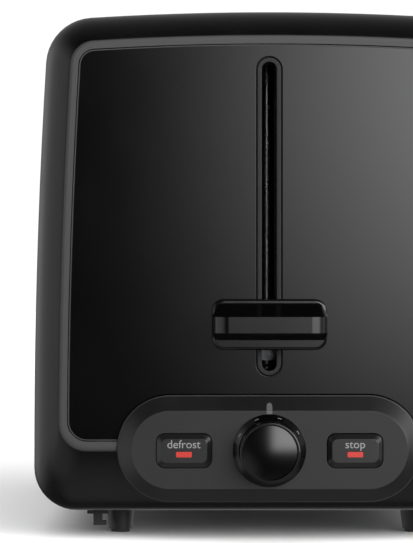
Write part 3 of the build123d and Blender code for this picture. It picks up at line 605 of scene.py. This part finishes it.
button_low, button_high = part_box("defrost_button")
BUTTON_FACE = button_low.y
LETTER_Z = middle("defrost_button").z + 1.1 * MM
word_scale = lettering("defrost_word", "defrost", 12.9 * MM,
                       (middle("defrost_button").x, LETTER_Z), BUTTON_FACE, "defrost_key")
lettering("stop_word", "stop", 0, (middle("stop_button").x, LETTER_Z), BUTTON_FACE, "stop_key",
          scale=word_scale)


def pointer_mark():
    """Grey pointer above the knob, printed over the control panel's bevel and face."""
    low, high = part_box("control_panel")
    knob_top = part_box("browning_knob")[1].z
    face_y = low.y
    face_top = middle("control_panel").z + 14.9 * MM
    bevel_depth = 3.5 * MM
    bevel_top = high.z - 0.4 * MM
    bottom = knob_top - 0.3 * MM
    top = face_top + 3.1 * MM
    half = 1.1 * MM
    slope = bevel_depth / (bevel_top - face_top)
    film = 0.05 * MM
    border = [(-half, bottom), (half, bottom), (half, face_top)]
    steps = 8
    for step in range(steps + 1):
        angle = math.pi * step / steps
        border.append((half * math.cos(angle), top - half + half * math.sin(angle)))
    border.append((-half, face_top))
    shape = bmesh.new()

    def put(x, z, lift):
        y = face_y + max(0.0, z - face_top) * slope - lift
        return shape.verts.new((x, y, z))

    upper = [put(x, z, film) for x, z in border]
    lower = [put(x, z, -film) for x, z in border]
    for ring_now in (upper, lower):
        shape.faces.new(ring_now[:3] + ring_now[-1:])
        shape.faces.new(ring_now[2:])
    count = len(border)
    for i in range(count):
        shape.faces.new((upper[i], upper[(i + 1) % count], lower[(i + 1) % count], lower[i]))
    bmesh.ops.recalc_face_normals(shape, faces=shape.faces)
    piece = new_object("pointer_mark", mesh_from_bmesh("pointer_mark", shape))
    paint(piece, MARK)
    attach(piece, "housing")


pointer_mark()


def knob_painted_glints():
    """Four short light arcs on the knob's flare, near its rim: painted glints for small features there
    that catch the light.
    """
    low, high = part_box("browning_knob")
    centre = (low + high) / 2
    rim_radius = (high.x - low.x) / 2
    rim_y = high.y - 0.8 * MM
    drum_radius = 12.1 * MM
    slope = 2.3 * MM / (rim_radius - drum_radius)
    film = 0.05 * MM
    glint_reach = (13.0 * MM, 13.2 * MM)
    spacing = 40.0
    first = -62.7
    span = 7.0
    steps = 6
    shape = bmesh.new()
    for glint_number in range(4):
        rows = []
        for step in range(steps + 1):
            angle = math.radians(first + spacing * glint_number + span * (step / steps - 0.5))
            across = []
            for reach in glint_reach:
                y = rim_y - (rim_radius - reach) * slope
                for lift in (-film, film):
                    x = centre.x + (reach + lift) * math.sin(angle)
                    z = centre.z + (reach + lift) * math.cos(angle)
                    across.append(shape.verts.new((x, y, z)))
            rows.append(across)
        for a, b in zip(rows, rows[1:]):
            for i, j in ((0, 1), (1, 3), (3, 2), (2, 0)):
                shape.faces.new((a[i], a[j], b[j], b[i]))
        for end in (rows[0], rows[-1]):
            shape.faces.new((end[0], end[1], end[3], end[2]))
    bmesh.ops.recalc_face_normals(shape, faces=shape.faces)
    piece = new_object("knob_painted_glints", mesh_from_bmesh("knob_painted_glints", shape))
    paint(piece, PAINTED_GLINT)
    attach(piece, "knob")


knob_painted_glints()


# ---- stage: floor, light and camera -------------------------------------------
def floor():
    """Plain pale floor, which the object's glossy surfaces don't mirror."""
    shape = bmesh.new()
    bmesh.ops.create_grid(shape, x_segments=1, y_segments=1, size=6.0)
    piece = new_object("floor", mesh_from_bmesh("floor", shape))
    material = bpy.data.materials.new("pale_floor")
    material.use_nodes = True
    shader = material.node_tree.nodes["Principled BSDF"]
    shader.inputs["Base Color"].default_value = (0.86, 0.86, 0.86, 1)
    shader.inputs["Roughness"].default_value = 0.9
    shader.inputs["Specular IOR Level"].default_value = 0.0
    paint(piece, material)
    piece.visible_glossy = False
    return piece


# The key window stands behind the camera, to its right. Each edge is soft: it runs from
# dark to light between two angles from straight behind the camera.
KEY_LEFT = (-2.5, 8.7)
KEY_RIGHT = (80.0, 50.0)
KEY_LOW = (-6.0, 4.5)
KEY_HIGH = (40.0, 22.0)
KEY_STRENGTH = 7.3

# Each soft box: azimuth (0 is behind the camera of the front view, 90 to its right),
# elevation, how much it is squeezed in height, inner and outer angle of its soft edge,
# and strength.
SOFT_BOXES = (
    (-90, 0, 2.0, 30, 68, 1.05),
    (110, 0, 2.0, 15, 50, 0.7),
    (180, 14, 3.0, 30, 70, 0.4),
    (-35, -22, 1.0, 8, 26, 0.5),
    (145, -20, 1.0, 20, 50, 0.6),
    (0, -60, 1.0, 12, 35, 0.3),
    (0, -90, 1.0, 30, 80, 0.08),
)
CEILING = 0.03


def combine(tree, operation, first, second):
    """A math node over two values, each a number or another node's output."""
    node = tree.nodes.new("ShaderNodeMath")
    node.operation = operation
    for socket, value in zip(node.inputs, (first, second)):
        if isinstance(value, (int, float)):
            socket.default_value = value
        else:
            tree.links.new(value, socket)
    return node.outputs["Value"]


def soft_edge(tree, value, dark, light, top=1.0):
    """Zero where the value is dark, rising smoothly to top where it is light."""
    ramp = tree.nodes.new("ShaderNodeMapRange")
    ramp.interpolation_type = "SMOOTHSTEP"
    low, high = min(dark, light), max(dark, light)
    ends = (0.0, top) if dark < light else (top, 0.0)
    set_inputs(ramp, From_Min=low, From_Max=high, To_Min=ends[0], To_Max=ends[1])
    tree.links.new(value, ramp.inputs["Value"])
    return ramp.outputs["Result"]


def key_window(tree, where):
    """The large window behind the camera, with its four soft edges."""
    parts = tree.nodes.new("ShaderNodeSeparateXYZ")
    tree.links.new(where, parts.inputs["Vector"])
    key = soft_edge(tree, parts.outputs["Y"], 0.0, -0.2)
    for axis, edges in (("X", KEY_LEFT), ("X", KEY_RIGHT), ("Z", KEY_LOW), ("Z", KEY_HIGH)):
        dark, light = [math.sin(math.radians(angle)) for angle in edges]
        key = combine(tree, "MULTIPLY", key, soft_edge(tree, parts.outputs[axis], dark, light))
    return combine(tree, "MULTIPLY", key, KEY_STRENGTH)


def soft_box(tree, where, azimuth, elevation, squeeze, inner, outer, strength):
    """One round or flattened patch of light with a soft edge."""
    flatten = tree.nodes.new("ShaderNodeVectorMath")
    flatten.operation = "MULTIPLY"
    flatten.inputs[1].default_value = (1, 1, squeeze)
    tree.links.new(where, flatten.inputs[0])
    unit = tree.nodes.new("ShaderNodeVectorMath")
    unit.operation = "NORMALIZE"
    tree.links.new(flatten.outputs["Vector"], unit.inputs[0])
    turn, rise = math.radians(azimuth), math.radians(elevation)
    aim = Vector((math.sin(turn) * math.cos(rise), -math.cos(turn) * math.cos(rise),
                  math.sin(rise) * squeeze))
    dot = tree.nodes.new("ShaderNodeVectorMath")
    dot.operation = "DOT_PRODUCT"
    dot.inputs[1].default_value = aim.normalized()
    tree.links.new(unit.outputs["Vector"], dot.inputs[0])
    dark, light = math.cos(math.radians(outer)), math.cos(math.radians(inner))
    return soft_edge(tree, dot.outputs["Value"], dark, light, strength)


def sky():
    """White seen directly; for the object, a dark room with soft boxes of light."""
    world = bpy.data.worlds.new("studio")
    bpy.context.scene.world = world
    world.use_nodes = True
    tree = world.node_tree
    nodes, links = tree.nodes, tree.links
    nodes.clear()
    output = nodes.new("ShaderNodeOutputWorld")
    backdrop = nodes.new("ShaderNodeBackground")
    backdrop.inputs["Color"].default_value = (1, 1, 1, 1)
    backdrop.inputs["Strength"].default_value = 1.05
    room = nodes.new("ShaderNodeBackground")
    path = nodes.new("ShaderNodeLightPath")
    choose = nodes.new("ShaderNodeMixShader")
    links.new(path.outputs["Is Camera Ray"], choose.inputs["Fac"])
    links.new(room.outputs["Background"], choose.inputs[1])
    links.new(backdrop.outputs["Background"], choose.inputs[2])
    links.new(choose.outputs["Shader"], output.inputs["Surface"])
    where = nodes.new("ShaderNodeTexCoord").outputs["Generated"]
    total = key_window(tree, where)
    for box in SOFT_BOXES:
        total = combine(tree, "ADD", total, soft_box(tree, where, *box))
    links.new(combine(tree, "ADD", total, CEILING), room.inputs["Strength"])


def overhead(floor_piece):
    """Broad light from above that lights the floor alone and draws the soft shadow."""
    light = bpy.data.lights.new("overhead", "SUN")
    light.angle = math.radians(92)
    light.energy = 3.9
    lamp = new_object("overhead", light)
    lamp.rotation_euler = (math.radians(40), 0, 0)
    lamp.visible_glossy = False
    lit = bpy.data.collections.new("floor_only")
    lit.objects.link(floor_piece)
    lamp.light_linking.receiver_collection = lit


def camera():
    """Level camera that faces the lever end, a little left of the middle."""
    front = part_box("front_bezel")[0].y
    distance = 1.1
    view_height = 0.2123
    data = bpy.data.cameras.new("camera")
    data.sensor_width = 36.0
    data.lens = data.sensor_width * distance / view_height
    cam = new_object("camera", data)
    cam.location = (-0.02455, front - distance, 0.1052)
    cam.rotation_euler = (math.pi / 2, 0, 0)
    bpy.context.scene.camera = cam


ground = floor()
sky()
overhead(ground)
camera()
bpy.context.scene.view_settings.view_transform = "Standard"
